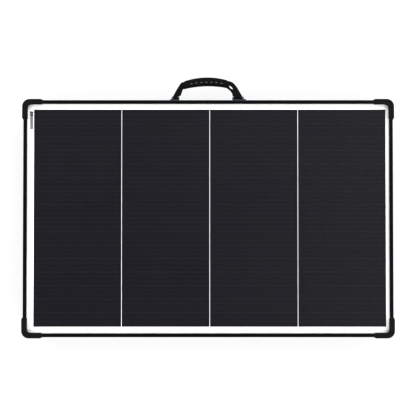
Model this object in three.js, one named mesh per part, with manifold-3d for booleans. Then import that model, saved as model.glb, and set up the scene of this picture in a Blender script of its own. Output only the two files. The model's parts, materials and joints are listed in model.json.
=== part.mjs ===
// A folding solar panel, closed: two framed leaves hinged along one long side, glass outwards.
// Millimetres, +Z up. It lies on its rear leaf, and +Y points from the hinges to the carrying handle.
import * as THREE from "three";
import { mergeVertices } from "three/addons/utils/BufferGeometryUtils.js";
import Module from "manifold-3d";

const wasm = await Module();
wasm.setup();

// Clearance between pieces that touch, and how far a cut or a joined piece runs past the face it meets.
const GAP = 0.3;
const PAST = 1;

// One leaf, rail to rail. Heights in a leaf are measured outwards from the plane where the leaves meet.
const LEAF_LENGTH = 706;
const LEAF_WIDTH = 452;
const FRAME_BACK = 0.3;
const FRAME_DEPTH = 35;
const FRAME_FRONT = FRAME_BACK + FRAME_DEPTH;

// The rail's section: an outer wall, a front lip, a shelf under the laminate and a back flange.
const RAIL_WALL = 1.6;
const LIP_WIDTH = 6.5;
const SHELF_WIDTH = 7.5;
const SHELF_TOP = FRAME_BACK + 27.7;
const FLANGE_WIDTH = 16;
const RAIL_CHAMFER = 0.5;
const RAIL_CUT_BACK = 16;

// The laminate, from the front: glass, cells, backsheet.
const GLASS_INSET = 2;
const GLASS_CLIP = 4;
const GLASS_THICK = 3.2;
const GLASS_FRONT = FRAME_FRONT - RAIL_WALL - GAP;
const GLASS_BACK = GLASS_FRONT - GLASS_THICK;
const CELL_THICK = 0.4;
const CELL_FRONT = GLASS_BACK - GAP;
const BACKSHEET_THICK = 0.8;
const BACKSHEET_FRONT = CELL_FRONT - CELL_THICK - GAP;

// Four strings of shingled strips, cut from 166 mm wafers.
const STRINGS = 4;
const STRING_WIDTH = 166;
const STRING_LENGTH = 413.7;
const STRING_SPACE = 2;
const LEFT_MARGIN = 21.2;
const HANDLE_SIDE_MARGIN = 18.3;
const RIBBON_NEAR = 1;
const RIBBON_FAR = 4;

// The printed serial strip beside the cells.
const LABEL = { fromLeft: 11.9, width: 7, fromHandleSide: 21, length: 34, thick: 0.2 };

// Moulded corner guards.
const GUARD_PROUD = 2;
const GUARD_ARM = 37.5;
const GUARD_FACE = 8.5;
const GUARD_RADIUS = 14;
const GUARD_INNER_RADIUS = 5;
const GUARD_BACK = 0.6;
const GUARD_FRONT = FRAME_FRONT + GUARD_PROUD;
const KEY_LENGTH = 20;
const KEY_WIDTH = 11;

// Butt hinges on the outer faces of the hinge-side rails.
const HINGE_X = 220;
const HINGE_WIDTH = 50;
const HINGE_AXIS_OUT = 2.6;
const KNUCKLE_RADIUS = 2.3;
const HINGE_PIN_RADIUS = 1.2;
const LEAF_PLATE = 1.5;
const LEAF_PLATE_TOP = 22;
const MIDDLE_KNUCKLE = 17.4;

// The stands: a U of two arms and a crossbar on an axle, carried by a rail across the leaf.
// The front stand is the smaller one, and its axle lies further out, so the two pass each other.
const STAND = {
  rear: { axleX: 166, length: 440, armY: 126 },
  front: { axleX: 190, length: 400, armY: 96 },
};
const AXLE_HEIGHT = 12;
const AXLE_RADIUS = 4;
const ARM_HALF_HEIGHT = 7;
const ARM_THICK = 8;
const CROSSBAR_RADIUS = 6.5;
const CROSSBAR_TENON = 4;
const CROSS_RAIL_FROM_AXLE = 8;
const CROSS_RAIL_WIDTH = 18;
const CROSS_RAIL_WALL = 2.6;
const CROSS_RAIL_BOTTOM = FRAME_BACK + RAIL_WALL + GAP;
const CROSS_RAIL_TOP = 22;
const LUG_THICK = 5;

// Junction box on the backsheet.
const BOX_X = 228;
const BOX_LENGTH = 76;
const BOX_WIDTH = 70;
const BOX_WALL = 2.4;
const BOX_FRONT = BACKSHEET_FRONT - BACKSHEET_THICK - GAP;
const BOX_DEPTH = 14;
const LID_THICK = 2.2;
const GLAND_RADIUS = 6;
const GLAND_LENGTH = 9;
const GLANDS = 2;

// Carrying handle. Heights along Y are measured from the outer face of the handle-side rail.
const HANDLE_AXIS_OUT = 5.6;
const HANDLE_AXIS_HEIGHT = 24;
const HANDLE_PIN_RADIUS = 1.5;
const BRACKET_PLATE = 1.6;
const BRACKET_LAP = 2;
const BRACKET_BOTTOM = 6;
const EAR_THICK = 2;
const EAR_RADIUS = 3;
const EYE_RADIUS = 3.2;
const BRACKETS = [
  { side: "left", plate: [-72.2, -55.4], ears: [-69.7, -55.4] },
  { side: "right", plate: [46.8, 72.2], ears: [46.8, 68.4] },
];
const STRAP_THICK = 4.4;
const STRAP_FOOT = HANDLE_AXIS_OUT + 1;
const GRIP_THICK = 20;
const GRIP_ROUND = 4;
const GRIP_TOP = 45;
const GRIP_UNDER = 28.9;
const GRIP_TOP_RADIUS = 139;
const GRIP_UNDER_RADIUS = 189;
const GRIP_LEFT = -48;
const GRIP_RIGHT = 37;
const TUNNEL_RADIUS = 160;
const TUNNEL_TOP = 40.4;
const BAND_WIDTH = 7;

// Hook latches on the handle side: they turn on the front leaf and catch a stud on the rear leaf.
const LATCH_X = 262;
const LATCH_REACH = 20;
const LATCH_FROM_SPLIT = 10;
const LATCH_RADIUS = 6;
const LATCH_PLATE = 2;
const LATCH_SLACK = 0.6;
const STUD_RADIUS = 2.5;
const STUD_HEAD_RADIUS = 4.5;
const STUD_HEAD_THICK = 0.8;
const STUD_HEAD_CHAMFER = 0.6;

const SPLIT_Z = GUARD_FRONT;
const HALF_X = LEAF_LENGTH / 2;
const HALF_Y = LEAF_WIDTH / 2;
const HINGE_Y = -HALF_Y - HINGE_AXIS_OUT;
const LOWEST_Y = HINGE_Y - KNUCKLE_RADIUS;
const HIGHEST_Y = HALF_Y + GRIP_TOP;

const COLOURS = {
  anodised: { color: 0x17181b, roughness: 0.42, metalness: 0.8 },
  plastic: { color: 0x131417, roughness: 0.6, metalness: 0 },
  grey: { color: 0x2b2c31, roughness: 0.5, metalness: 0.4 },
  glass: { color: 0xdfe8ee, roughness: 0.05, metalness: 0, transparent: true, opacity: 0.25 },
  cell: { color: 0x26272d, roughness: 0.35, metalness: 0.1 },
  backsheet: { color: 0xf6f6f4, roughness: 0.7, metalness: 0 },
  steel: { color: 0x9a9ca0, roughness: 0.35, metalness: 1 },
  webbing: { color: 0x17181a, roughness: 0.95, metalness: 0 },
  rubber: { color: 0x101113, roughness: 0.85, metalness: 0 },
  label: { color: 0x8c8d90, roughness: 0.8, metalness: 0 },
};

// ---- Geometry helpers ----

function solidOf(geometry) {
  const loose = geometry.index ? geometry.toNonIndexed() : geometry;
  const bare = new THREE.BufferGeometry().setAttribute("position", loose.getAttribute("position"));
  const merged = mergeVertices(bare, 1e-4);
  return new wasm.Manifold(
    new wasm.Mesh({
      numProp: 3,
      vertProperties: merged.attributes.position.array,
      triVerts: new Uint32Array(merged.index.array),
    }),
  );
}

function geometryOf(solid) {
  const mesh = solid.getMesh();
  const geometry = new THREE.BufferGeometry()
    .setAttribute("position", new THREE.BufferAttribute(mesh.vertProperties, 3))
    .setIndex(new THREE.BufferAttribute(mesh.triVerts, 1))
    .toNonIndexed();
  geometry.computeVertexNormals();
  return geometry;
}

function join(...pieces) {
  return geometryOf(wasm.Manifold.union(pieces.map(solidOf)));
}

function cut(piece, ...tools) {
  return geometryOf(solidOf(piece).subtract(wasm.Manifold.union(tools.map(solidOf))));
}

// A block between two limits on each axis, given in either order.
function block([x0, x1], [y0, y1], [z0, z1]) {
  const size = [Math.abs(x1 - x0), Math.abs(y1 - y0), Math.abs(z1 - z0)];
  return new THREE.BoxGeometry(...size).translate((x0 + x1) / 2, (y0 + y1) / 2, (z0 + z1) / 2);
}

function outline(points) {
  return new THREE.Shape(points.map(([a, b]) => new THREE.Vector2(a, b)));
}

function extruded(shape, depth) {
  return new THREE.ExtrudeGeometry(shape, { depth, bevelEnabled: false, curveSegments: 16 });
}

// A shape drawn in X and Y, from z0 to z1.
function alongZ(shape, z0, z1) {
  return extruded(shape, z1 - z0).translate(0, 0, z0);
}

// A shape drawn in Y and Z, from x0 to x1.
function alongX(shape, x0, x1) {
  const turn = new THREE.Matrix4().set(0, 0, 1, x0, 1, 0, 0, 0, 0, 1, 0, 0, 0, 0, 0, 1);
  return extruded(shape, x1 - x0).applyMatrix4(turn);
}

// A shape drawn in X and Z, from y0 to y1.
function alongY(shape, y0, y1) {
  const turn = new THREE.Matrix4().set(1, 0, 0, 0, 0, 0, -1, y1, 0, 1, 0, 0, 0, 0, 0, 1);
  return extruded(shape, y1 - y0).applyMatrix4(turn);
}

// A turned piece about the X or Y axis through the origin: pairs of [place along the axis, radius].
function turned(axis, steps, segments = 20) {
  const first = steps[0][0];
  const last = steps[steps.length - 1][0];
  const profile = [[first, 0], ...steps, [last, 0]].map(([at, radius]) => new THREE.Vector2(radius, at));
  const geometry = new THREE.LatheGeometry(profile, segments);
  return axis === "x" ? geometry.rotateZ(-Math.PI / 2) : geometry;
}

function rod(axis, radius, from, to, segments = 20) {
  return turned(axis, [[from, radius], [to, radius]], segments);
}

function arc(centreA, centreB, radius, fromDegrees, toDegrees, steps) {
  return Array.from({ length: steps + 1 }, (_, i) => {
    const angle = THREE.MathUtils.degToRad(fromDegrees + ((toDegrees - fromDegrees) * i) / steps);
    return [centreA + radius * Math.cos(angle), centreB + radius * Math.sin(angle)];
  });
}

function add(group, name, finish, geometry) {
  const mesh = new THREE.Mesh(geometry, new THREE.MeshStandardMaterial(COLOURS[finish]));
  mesh.name = name;
  group.add(mesh);
}

// ---- Frame ----

// The section as [inwards from the outer face, height].
function railSection() {
  const lipUnder = FRAME_FRONT - RAIL_WALL;
  return [
    [RAIL_CHAMFER, FRAME_BACK],
    [FLANGE_WIDTH, FRAME_BACK],
    [FLANGE_WIDTH, FRAME_BACK + RAIL_WALL],
    [RAIL_WALL, FRAME_BACK + RAIL_WALL],
    [RAIL_WALL, SHELF_TOP - RAIL_WALL],
    [SHELF_WIDTH, SHELF_TOP - RAIL_WALL],
    [SHELF_WIDTH, SHELF_TOP],
    [RAIL_WALL, SHELF_TOP],
    [RAIL_WALL, lipUnder],
    [LIP_WIDTH, lipUnder],
    [LIP_WIDTH, FRAME_FRONT],
    [RAIL_CHAMFER, FRAME_FRONT],
    [0, FRAME_FRONT - RAIL_CHAMFER],
    [0, FRAME_BACK + RAIL_CHAMFER],
  ];
}

function longRail(side) {
  const reach = HALF_X - RAIL_CUT_BACK;
  const shape = outline(railSection().map(([inwards, height]) => [side * (HALF_Y - inwards), height]));
  return alongX(shape, -reach, reach);
}

function shortRail(side) {
  const reach = HALF_Y - RAIL_CUT_BACK;
  const shape = outline(railSection().map(([inwards, height]) => [side * (HALF_X - inwards), height]));
  return alongY(shape, -reach, reach);
}

// ---- Corner guards, drawn as distances inwards from the frame's outer corner ----

function guardOutline() {
  const out = -GUARD_PROUD;
  const centre = GUARD_RADIUS + out;
  const inner = GUARD_FACE + GUARD_INNER_RADIUS;
  const arm = [
    [centre, out],
    [GUARD_ARM - 2 * GUARD_PROUD, out],
    [GUARD_ARM, 0],
    [GUARD_ARM, GUARD_FACE - GUARD_PROUD],
    [GUARD_ARM - GUARD_PROUD, GUARD_FACE],
  ];
  const otherArm = arm.map(([a, b]) => [b, a]).reverse();
  return [
    ...arm,
    ...arc(inner, inner, GUARD_INNER_RADIUS, 270, 180, 4),
    ...otherArm,
    ...arc(centre, centre, GUARD_RADIUS, 180, 270, 8).slice(1, -1),
  ];
}

function cornerBlockOutline() {
  const out = -GUARD_PROUD;
  const centre = GUARD_RADIUS + out;
  const inner = RAIL_CUT_BACK - GAP;
  return [...arc(centre, centre, GUARD_RADIUS, 180, 270, 8), [inner, out], [inner, inner], [out, inner]];
}

// The room that the clipped corner of the laminate needs.
function laminateRoom() {
  const edge = GLASS_INSET - GAP;
  const clip = edge + GLASS_CLIP;
  const far = GUARD_ARM + GUARD_FACE;
  return [[edge, clip], [clip, edge], [far, edge], [far, far], [edge, far]];
}

function cornerGuard(sideX, sideY) {
  const place = ([a, b]) => [sideX * (HALF_X - a), sideY * (HALF_Y - b)];
  const piece = (a, b, heights) => {
    const [low, high] = [place([a[0], b[0]]), place([a[1], b[1]])];
    return block([low[0], high[0]], [low[1], high[1]], heights);
  };
  const cutEnd = RAIL_CUT_BACK - GAP;
  const far = GUARD_ARM + GUARD_FACE;
  const railHeights = [0, FRAME_FRONT + GAP];
  const keyHeights = [FRAME_BACK + RAIL_WALL + GAP, SHELF_TOP - RAIL_WALL - GAP];
  const keyDepth = [RAIL_WALL + GAP, RAIL_WALL + GAP + KEY_WIDTH];
  const keyReach = [cutEnd - PAST, cutEnd + KEY_LENGTH];
  const body = join(
    alongZ(outline(guardOutline().map(place)), GUARD_BACK, GUARD_FRONT),
    alongZ(outline(cornerBlockOutline().map(place)), GUARD_BACK, SHELF_TOP),
  );
  const shell = cut(
    body,
    piece([cutEnd, far], [-GAP, far], railHeights),
    piece([-GAP, far], [cutEnd, far], railHeights),
    alongZ(outline(laminateRoom().map(place)), SHELF_TOP, GLASS_FRONT + GAP),
  );
  return join(shell, piece(keyReach, keyDepth, keyHeights), piece(keyDepth, keyReach, keyHeights));
}

// ---- Laminate ----

function sheet(front, thick) {
  const x = HALF_X - GLASS_INSET;
  const y = HALF_Y - GLASS_INSET;
  const clip = GLASS_CLIP;
  const corners = [
    [x, y - clip], [x - clip, y], [clip - x, y], [-x, y - clip],
    [-x, clip - y], [clip - x, -y], [x - clip, -y], [x, clip - y],
  ];
  return alongZ(outline(corners), front - thick, front);
}

// The strings side by side, joined by a ribbon across each space at both ends.
function cellMatrix() {
  const heights = [CELL_FRONT - CELL_THICK, CELL_FRONT];
  const top = HALF_Y - HANDLE_SIDE_MARGIN;
  const bottom = top - STRING_LENGTH;
  const pieces = [];
  for (let i = 0; i < STRINGS; i += 1) {
    const left = LEFT_MARGIN - HALF_X + i * (STRING_WIDTH + STRING_SPACE);
    const right = left + STRING_WIDTH;
    pieces.push(block([left, right], [bottom, top], heights));
    if (i === STRINGS - 1) continue;
    const across = [right - PAST, right + STRING_SPACE + PAST];
    pieces.push(block(across, [top - RIBBON_NEAR, top - RIBBON_FAR], heights));
    pieces.push(block(across, [bottom + RIBBON_NEAR, bottom + RIBBON_FAR], heights));
  }
  return join(...pieces);
}

function serialLabel() {
  const left = LABEL.fromLeft - HALF_X;
  const top = HALF_Y - LABEL.fromHandleSide;
  const back = BACKSHEET_FRONT + GAP;
  return block([left, left + LABEL.width], [top - LABEL.length, top], [back, back + LABEL.thick]);
}

// ---- Hinges ----

function hingeLeaf(centreX, knuckles) {
  const outer = -HALF_Y - GAP;
  const faces = [outer - LEAF_PLATE, outer];
  const low = KNUCKLE_RADIUS + GAP;
  const half = HINGE_WIDTH / 2;
  const pieces = [block([centreX - half, centreX + half], faces, [low, LEAF_PLATE_TOP])];
  for (const [from, to] of knuckles) {
    const span = [centreX + from, centreX + to];
    pieces.push(block(span, faces, [0, low + PAST]));
    pieces.push(rod("x", KNUCKLE_RADIUS, ...span).translate(0, HINGE_Y, 0));
  }
  const bore = rod("x", HINGE_PIN_RADIUS + GAP, centreX - half - PAST, centreX + half + PAST);
  return cut(join(...pieces), bore.translate(0, HINGE_Y, 0));
}

function hingePin(centreX) {
  const half = HINGE_WIDTH / 2;
  return rod("x", HINGE_PIN_RADIUS, centreX - half, centreX + half).translate(0, HINGE_Y, 0);
}

// ---- Stands ----

function standArm({ axleX, length }, centreY) {
  const tip = axleX - length;
  const shape = outline([
    ...arc(axleX, AXLE_HEIGHT, ARM_HALF_HEIGHT, -90, 90, 8),
    ...arc(tip, AXLE_HEIGHT, ARM_HALF_HEIGHT, 90, 270, 8),
  ]);
  const low = centreY - ARM_THICK / 2;
  const high = centreY + ARM_THICK / 2;
  return cut(
    alongY(shape, low, high),
    rod("y", AXLE_RADIUS + GAP, low - PAST, high + PAST).translate(axleX, 0, AXLE_HEIGHT),
    rod("y", CROSSBAR_TENON + GAP, low - PAST, high + PAST).translate(tip, 0, AXLE_HEIGHT),
  );
}

function standCrossbar({ axleX, length, armY }) {
  const shoulder = armY - ARM_THICK / 2 - GAP;
  const end = armY + ARM_THICK / 2;
  const steps = [
    [-end, CROSSBAR_TENON],
    [-shoulder, CROSSBAR_TENON],
    [-shoulder, CROSSBAR_RADIUS],
    [shoulder, CROSSBAR_RADIUS],
    [shoulder, CROSSBAR_TENON],
    [end, CROSSBAR_TENON],
  ];
  return turned("y", steps).translate(axleX - length, 0, AXLE_HEIGHT);
}

function lugStart(armY) {
  return armY + ARM_THICK / 2 + GAP;
}

function standAxle({ axleX, armY }) {
  const end = lugStart(armY) + LUG_THICK;
  return rod("y", AXLE_RADIUS, -end, end).translate(axleX, 0, AXLE_HEIGHT);
}

// A rail from one long rail to the other, with a lug outside each arm of the stand.
function crossRail({ axleX, armY }) {
  const reach = HALF_Y - RAIL_WALL - GAP;
  const near = axleX + CROSS_RAIL_FROM_AXLE;
  const far = near + CROSS_RAIL_WIDTH;
  const rail = block([near, far], [-reach, reach], [CROSS_RAIL_BOTTOM, CROSS_RAIL_TOP]);
  const groove = block(
    [near + CROSS_RAIL_WALL, far - CROSS_RAIL_WALL],
    [-reach - PAST, reach + PAST],
    [CROSS_RAIL_BOTTOM - PAST, CROSS_RAIL_TOP - CROSS_RAIL_WALL],
  );
  const lug = outline([
    ...arc(axleX, AXLE_HEIGHT, ARM_HALF_HEIGHT, 90, 270, 8),
    [near + PAST, AXLE_HEIGHT - ARM_HALF_HEIGHT],
    [near + PAST, AXLE_HEIGHT + ARM_HALF_HEIGHT],
  ]);
  const start = lugStart(armY);
  const end = start + LUG_THICK;
  const lugs = [alongY(lug, start, end), alongY(lug, -end, -start)];
  const bore = rod("y", AXLE_RADIUS + GAP, -end - PAST, end + PAST).translate(axleX, 0, AXLE_HEIGHT);
  return cut(join(cut(rail, groove), ...lugs), bore);
}

// ---- Junction box ----

function junctionBox() {
  const half = BOX_WIDTH / 2;
  const back = BOX_FRONT - BOX_DEPTH;
  const body = block([BOX_X, BOX_X + BOX_LENGTH], [-half, half], [back, BOX_FRONT]);
  const inside = block(
    [BOX_X + BOX_WALL, BOX_X + BOX_LENGTH - BOX_WALL],
    [BOX_WALL - half, half - BOX_WALL],
    [back - PAST, BOX_FRONT - BOX_WALL],
  );
  const glands = [];
  for (let i = 1; i <= GLANDS; i += 1) {
    const x = BOX_X + (BOX_LENGTH * i) / (GLANDS + 1);
    const gland = rod("y", GLAND_RADIUS, half - PAST, half + GLAND_LENGTH);
    glands.push(gland.translate(x, 0, back + BOX_DEPTH / 2));
  }
  return join(cut(body, inside), ...glands);
}

function junctionLid() {
  const half = BOX_WIDTH / 2;
  const front = BOX_FRONT - BOX_DEPTH - GAP;
  return block([BOX_X, BOX_X + BOX_LENGTH], [-half, half], [front - LID_THICK, front]);
}

// ---- Handle ----

// A base plate that laps the front edge of the rail, with two ears for the pin.
function handleBracket({ plate, ears }) {
  const face = HALF_Y + GAP;
  const outer = face + BRACKET_PLATE;
  const lap = [FRAME_FRONT + GAP, FRAME_FRONT + GAP + BRACKET_PLATE];
  const axis = [HALF_Y + HANDLE_AXIS_OUT, HANDLE_AXIS_HEIGHT];
  const ear = outline([
    ...arc(...axis, EAR_RADIUS, -90, 90, 8),
    [face + BRACKET_PLATE / 2, HANDLE_AXIS_HEIGHT + EAR_RADIUS],
    [face + BRACKET_PLATE / 2, HANDLE_AXIS_HEIGHT - EAR_RADIUS],
  ]);
  const [low, high] = ears;
  const body = join(
    block(plate, [face, outer], [BRACKET_BOTTOM, lap[1]]),
    block(plate, [HALF_Y - BRACKET_LAP, outer], lap),
    alongX(ear, low, low + EAR_THICK),
    alongX(ear, high - EAR_THICK, high),
  );
  const bore = rod("x", HANDLE_PIN_RADIUS + GAP, low - PAST, high + PAST).translate(0, ...axis);
  return cut(body, bore);
}

function handlePin({ ears }) {
  return rod("x", HANDLE_PIN_RADIUS, ...ears).translate(0, HALF_Y + HANDLE_AXIS_OUT, HANDLE_AXIS_HEIGHT);
}

// The room between a bracket's ears, less the clearance.
function betweenEars({ ears: [low, high] }) {
  return [low + EAR_THICK + GAP, high - EAR_THICK - GAP];
}

function strapEye(bracket) {
  const eye = rod("x", EYE_RADIUS, ...betweenEars(bracket));
  return eye.translate(0, HALF_Y + HANDLE_AXIS_OUT, HANDLE_AXIS_HEIGHT);
}

// An arc over the handle's middle, from one place along X to another.
function archPoints(top, radius, from, to, steps) {
  return Array.from({ length: steps + 1 }, (_, i) => {
    const x = from + ((to - from) * i) / steps;
    return [x, top - radius + Math.sqrt(radius * radius - x * x)];
  });
}

// A flat piece of the handle from its outline as [X, height above the rail].
function handleFlat(points, thick) {
  const shape = outline(points.map(([x, height]) => [x, HALF_Y + height]));
  return alongZ(shape, HANDLE_AXIS_HEIGHT - thick / 2, HANDLE_AXIS_HEIGHT + thick / 2);
}

// The band of webbing inside the grip, wider by the clearance where it is the tunnel.
function gripBand(spare, from, to) {
  const half = BAND_WIDTH / 2 + spare;
  const middle = TUNNEL_TOP - BAND_WIDTH / 2;
  return [
    ...archPoints(middle + half, TUNNEL_RADIUS, from, to, 8),
    ...archPoints(middle - half, TUNNEL_RADIUS, to, from, 8),
  ];
}

// The webbing: a leg from each bracket, and the band through the grip between them.
function handleStrap() {
  const [left, right] = BRACKETS;
  const [leftOuter, leftInner] = betweenEars(left);
  const [rightInner, rightOuter] = betweenEars(right);
  const eyeTop = HANDLE_AXIS_OUT + EAR_RADIUS + GAP;
  const leftLeg = [
    [leftOuter, STRAP_FOOT],
    [leftOuter, eyeTop],
    [-61, 20.6],
    [GRIP_LEFT - 2.5, 36.7],
    [GRIP_LEFT + 1.3, 24.1],
    [-49.3, 20.6],
    [-53.4, eyeTop],
    [leftInner, eyeTop],
    [leftInner, STRAP_FOOT],
  ];
  const rightLeg = [
    [rightInner, STRAP_FOOT],
    [rightInner, eyeTop],
    [46.8, eyeTop],
    [46.4, 14],
    [47.2, 15.8],
    [44.1, 20.6],
    [GRIP_RIGHT - 0.4, 24.7],
    [GRIP_RIGHT + 2, 38.1],
    [47.2, 35],
    [53.8, 29],
    [59.9, 18.6],
    [rightOuter, eyeTop],
    [rightOuter, STRAP_FOOT],
  ];
  const slit = [
    [GRIP_RIGHT + 2.9, 30.9],
    [46.4, 28],
    [47.6, 24.6],
    [44.2, 25.6],
    [GRIP_RIGHT + 2.6, 29],
  ];
  const bore = rod("x", HANDLE_PIN_RADIUS + GAP, left.ears[0], right.ears[1]);
  return cut(
    join(
      handleFlat(leftLeg, STRAP_THICK),
      handleFlat(rightLeg, STRAP_THICK),
      handleFlat(gripBand(0, GRIP_LEFT - 2, GRIP_RIGHT + 3), STRAP_THICK),
      strapEye(left),
      strapEye(right),
    ),
    handleFlat(slit, STRAP_THICK + 2 * PAST),
    bore.translate(0, HALF_Y + HANDLE_AXIS_OUT, HANDLE_AXIS_HEIGHT),
  );
}

// The rubber grip: an arch with rounded long edges, and the tunnel that the webbing runs through.
function handleGrip() {
  const left = GRIP_LEFT + GRIP_ROUND;
  const right = GRIP_RIGHT - GRIP_ROUND;
  const top = archPoints(GRIP_TOP - GRIP_ROUND, GRIP_TOP_RADIUS, left, right + 1, 12);
  const under = archPoints(GRIP_UNDER + GRIP_ROUND, GRIP_UNDER_RADIUS, right, left + 3, 12);
  const shape = outline([...top, ...under].map(([x, height]) => [x, HALF_Y + height]));
  const body = new THREE.ExtrudeGeometry(shape, {
    depth: GRIP_THICK - 2 * GRIP_ROUND,
    bevelEnabled: true,
    bevelThickness: GRIP_ROUND,
    bevelSize: GRIP_ROUND,
    bevelSegments: 3,
  }).translate(0, 0, HANDLE_AXIS_HEIGHT - GRIP_THICK / 2 + GRIP_ROUND);
  const roomThick = STRAP_THICK + 2 * GAP;
  const tunnel = handleFlat(gripBand(GAP, GRIP_LEFT - 6, GRIP_RIGHT + 6), roomThick);
  const leftRoom = handleFlat(
    [[-80, 12], [-54, 42], [GRIP_LEFT - 2, 38.1], [GRIP_LEFT + 2, 22], [-50, 12]],
    roomThick,
  );
  const rightRoom = handleFlat(
    [[GRIP_RIGHT - 0.9, 22], [GRIP_RIGHT + 1.5, 40.1], [60, 40], [60, 12], [GRIP_RIGHT - 0.9, 12]],
    roomThick,
  );
  return cut(body, tunnel, leftRoom, rightRoom);
}

// ---- Latches ----

// A hook drawn about its pivot, with a side notch for the stud. side is +1 or -1 along X.
function latchHook(side) {
  const face = HALF_Y + 2 * GAP;
  const centre = [side * LATCH_X, LATCH_FROM_SPLIT];
  const tip = [centre[0], centre[1] - LATCH_REACH];
  const capsule = outline([
    ...arc(...centre, LATCH_RADIUS, 0, 180, 8),
    ...arc(...tip, LATCH_RADIUS, 180, 360, 8),
  ]);
  const depth = [face - PAST, face + LATCH_PLATE + PAST];
  const catchRadius = STUD_RADIUS + LATCH_SLACK;
  const notch = block(
    [tip[0], tip[0] - side * (LATCH_RADIUS + PAST)],
    depth,
    [tip[1] - catchRadius, tip[1] + catchRadius + LATCH_SLACK],
  );
  return cut(
    alongY(capsule, face, face + LATCH_PLATE),
    notch,
    rod("y", catchRadius, ...depth).translate(tip[0], 0, tip[1]),
    rod("y", STUD_RADIUS + GAP, ...depth).translate(centre[0], 0, centre[1]),
  );
}

// A headed stud on the handle-side rail: the hook's pivot on the front leaf, its catch on the rear leaf.
function latchStud(side) {
  const foot = HALF_Y + GAP;
  const underHead = HALF_Y + 3 * GAP + LATCH_PLATE;
  const steps = [
    [foot, STUD_RADIUS],
    [underHead, STUD_RADIUS],
    [underHead, STUD_HEAD_RADIUS],
    [underHead + STUD_HEAD_THICK, STUD_HEAD_RADIUS - STUD_HEAD_CHAMFER],
  ];
  return turned("y", steps).translate(side * LATCH_X, 0, LATCH_FROM_SPLIT);
}

// ---- Assembly ----

const ENDS = [
  { name: "left", side: -1 },
  { name: "right", side: 1 },
];

// One leaf with its glass towards +Z of the group, and its back at the group's origin.
function leaf(name, knuckles) {
  const group = new THREE.Group();
  const sides = [
    { name: "handle_side", side: 1 },
    { name: "hinge_side", side: -1 },
  ];
  for (const long of sides) {
    add(group, `${name}_rail_${long.name}`, "anodised", longRail(long.side));
    for (const end of ENDS) {
      const guard = cornerGuard(end.side, long.side);
      add(group, `${name}_guard_${long.name}_${end.name}`, "plastic", guard);
    }
  }
  for (const end of ENDS) {
    add(group, `${name}_rail_${end.name}`, "anodised", shortRail(end.side));
    add(group, `${name}_hinge_leaf_${end.name}`, "grey", hingeLeaf(end.side * HINGE_X, knuckles));
  }
  add(group, `${name}_glass`, "glass", sheet(GLASS_FRONT, GLASS_THICK));
  add(group, `${name}_cell_matrix`, "cell", cellMatrix());
  add(group, `${name}_backsheet`, "backsheet", sheet(BACKSHEET_FRONT, BACKSHEET_THICK));
  add(group, `${name}_junction_box`, "plastic", junctionBox());
  add(group, `${name}_junction_lid`, "plastic", junctionLid());
  const stand = STAND[name];
  add(group, `${name}_cross_rail`, "anodised", crossRail(stand));
  add(group, `${name}_stand_axle`, "steel", standAxle(stand));
  add(group, `${name}_stand_arm_hinge_side`, "anodised", standArm(stand, -stand.armY));
  add(group, `${name}_stand_arm_handle_side`, "anodised", standArm(stand, stand.armY));
  add(group, `${name}_stand_crossbar`, "anodised", standCrossbar(stand));
  return group;
}

const halfKnuckle = MIDDLE_KNUCKLE / 2;
const halfHinge = HINGE_WIDTH / 2;
const front = leaf("front", [[-halfKnuckle, halfKnuckle]]);
const rear = leaf("rear", [
  [-halfHinge, -halfKnuckle - GAP],
  [halfKnuckle + GAP, halfHinge],
]);
rear.scale.z = -1;

add(front, "serial_label", "label", serialLabel());
for (const bracket of BRACKETS) {
  add(front, `handle_bracket_${bracket.side}`, "grey", handleBracket(bracket));
  add(front, `handle_pin_${bracket.side}`, "steel", handlePin(bracket));
}
add(front, "handle_strap", "webbing", handleStrap());
add(front, "handle_grip", "rubber", handleGrip());
for (const end of ENDS) {
  add(front, `hinge_pin_${end.name}`, "steel", hingePin(end.side * HINGE_X));
  add(front, `latch_hook_${end.name}`, "grey", latchHook(end.side));
  add(front, `latch_pivot_${end.name}`, "steel", latchStud(end.side));
  add(rear, `latch_stud_${end.name}`, "steel", latchStud(end.side));
}

const panel = new THREE.Group();
panel.add(front, rear);
panel.position.set(0, -(LOWEST_Y + HIGHEST_Y) / 2, SPLIT_Z);

export default panel;
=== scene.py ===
"""A folding solar panel, closed and lying on its back leaf, in a plain white studio.

Metres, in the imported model's frame: +Z out of the front glass, +Y from the hinges to the handle.
"""

import json
import math

import bmesh
import bpy
from mathutils import Matrix, Vector


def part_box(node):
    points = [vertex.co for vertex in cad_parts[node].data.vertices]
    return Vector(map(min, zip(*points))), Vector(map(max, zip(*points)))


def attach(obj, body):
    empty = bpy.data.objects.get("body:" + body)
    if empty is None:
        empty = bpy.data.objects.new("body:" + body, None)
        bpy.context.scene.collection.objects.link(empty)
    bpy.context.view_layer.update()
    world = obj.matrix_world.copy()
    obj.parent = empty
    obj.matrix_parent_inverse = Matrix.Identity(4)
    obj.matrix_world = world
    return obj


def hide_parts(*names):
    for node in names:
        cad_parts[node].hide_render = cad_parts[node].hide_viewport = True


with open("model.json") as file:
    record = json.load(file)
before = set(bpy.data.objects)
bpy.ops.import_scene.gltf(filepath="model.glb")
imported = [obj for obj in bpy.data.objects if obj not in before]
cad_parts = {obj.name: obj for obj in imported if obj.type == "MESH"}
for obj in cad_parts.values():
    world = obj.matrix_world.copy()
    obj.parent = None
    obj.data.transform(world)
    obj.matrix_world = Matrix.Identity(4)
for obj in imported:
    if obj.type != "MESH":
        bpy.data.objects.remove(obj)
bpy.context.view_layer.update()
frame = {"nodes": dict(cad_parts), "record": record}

MM = 0.001
LEAVES = ("front", "rear")
ENDS = ("left", "right")
NODES = frame["nodes"]
BODY_OF = {
    node: body
    for body, nodes in frame["record"]["behaviour"]["bodies"].items()
    for node in nodes
}
SLOT_OF = {part["node"]: part["material_slot"] for part in frame["record"]["subparts"]}

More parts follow.
